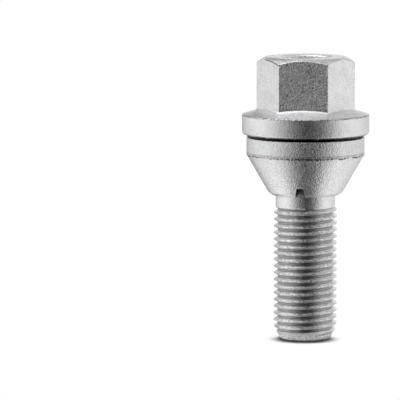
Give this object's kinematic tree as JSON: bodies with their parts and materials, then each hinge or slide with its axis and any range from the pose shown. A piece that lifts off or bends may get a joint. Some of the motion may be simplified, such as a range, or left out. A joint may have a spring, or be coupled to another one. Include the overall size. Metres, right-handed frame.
{
  "type": "wheel bolt with loose cone collar",
  "caption": "Hexagon flange-head wheel bolt with a metric thread and a free-turning conical seat collar that centres the wheel on the hub.",
  "frame": {"origin": "centre of the thread's flat end face, on which the bolt stands", "axes": "+Z along the bolt's axis towards the head; -Y is the front, square to one flat of the hexagon"},
  "size_m": [0.0282, 0.0282, 0.0629],
  "materials": {
    "bolt_zinc": "fine-grained zinc plate, satin",
    "collar_zinc": "fine-grained zinc plate, satin"
  },
  "bodies": {
    "bolt": {"bolt": "bolt_zinc"},
    "collar": {"seat_collar": "collar_zinc"}
  },
  "joints": [
    {"name": "collar_spin", "type": "hinge", "parent": "bolt", "child": "collar", "pos_m": [0, 0, 0.0452], "axis": [0, 0, 1], "continuous": true}
  ]
}
